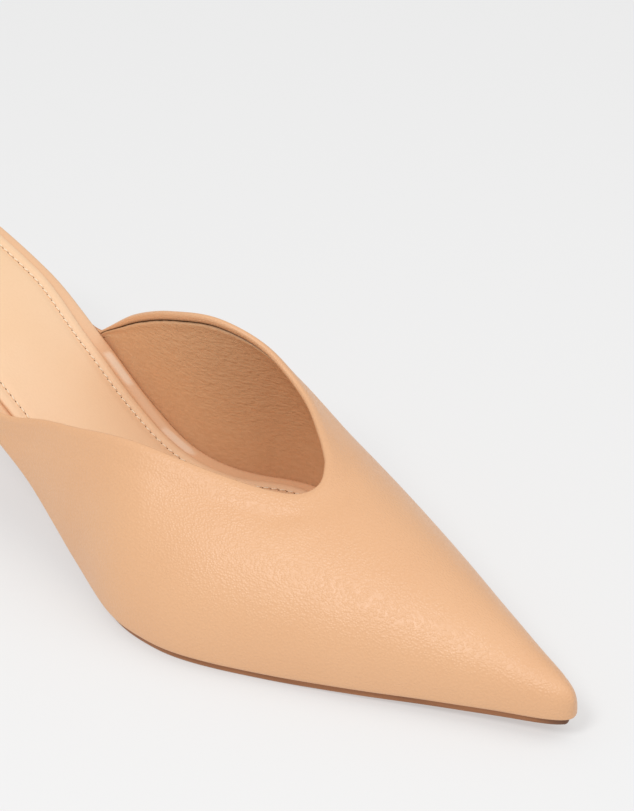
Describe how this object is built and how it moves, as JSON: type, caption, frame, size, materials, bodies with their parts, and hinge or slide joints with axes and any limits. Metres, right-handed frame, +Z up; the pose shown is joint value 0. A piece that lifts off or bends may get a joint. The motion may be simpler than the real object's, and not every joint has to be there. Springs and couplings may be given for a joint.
{
  "type": "mule shoe",
  "caption": "Backless closed-toe mule with a long pointed toe, rounded V throat, padded stitched sock, thin sole and slim covered heel. Right foot.",
  "frame": {"origin": "on the floor, under the middle of the shoe's box", "axes": "+X to the toe, +Y to the inner side of the foot, +Z up; the shoe stands on its forefoot tread and its heel tip at z = 0"},
  "size_m": [0.246, 0.0788, 0.0571],
  "materials": {
    "upper_leather": "smooth tan nappa with a fine grain and a soft sheen",
    "insole_leather": "smooth tan leather wrapped over the board's edge",
    "sock_leather": "matt pale tan lining leather, stitched inside its edge",
    "sole_rubber": "smooth brown sole and edge",
    "heel_leather": "tan leather cover, as the upper",
    "tip_rubber": "matt brown wear piece"
  },
  "bodies": {
    "root": {"outsole": "sole_rubber", "insole": "insole_leather", "sock": "sock_leather", "upper": "upper_leather", "heel": "heel_leather", "heel_tip": "tip_rubber"}
  },
  "joints": []
}
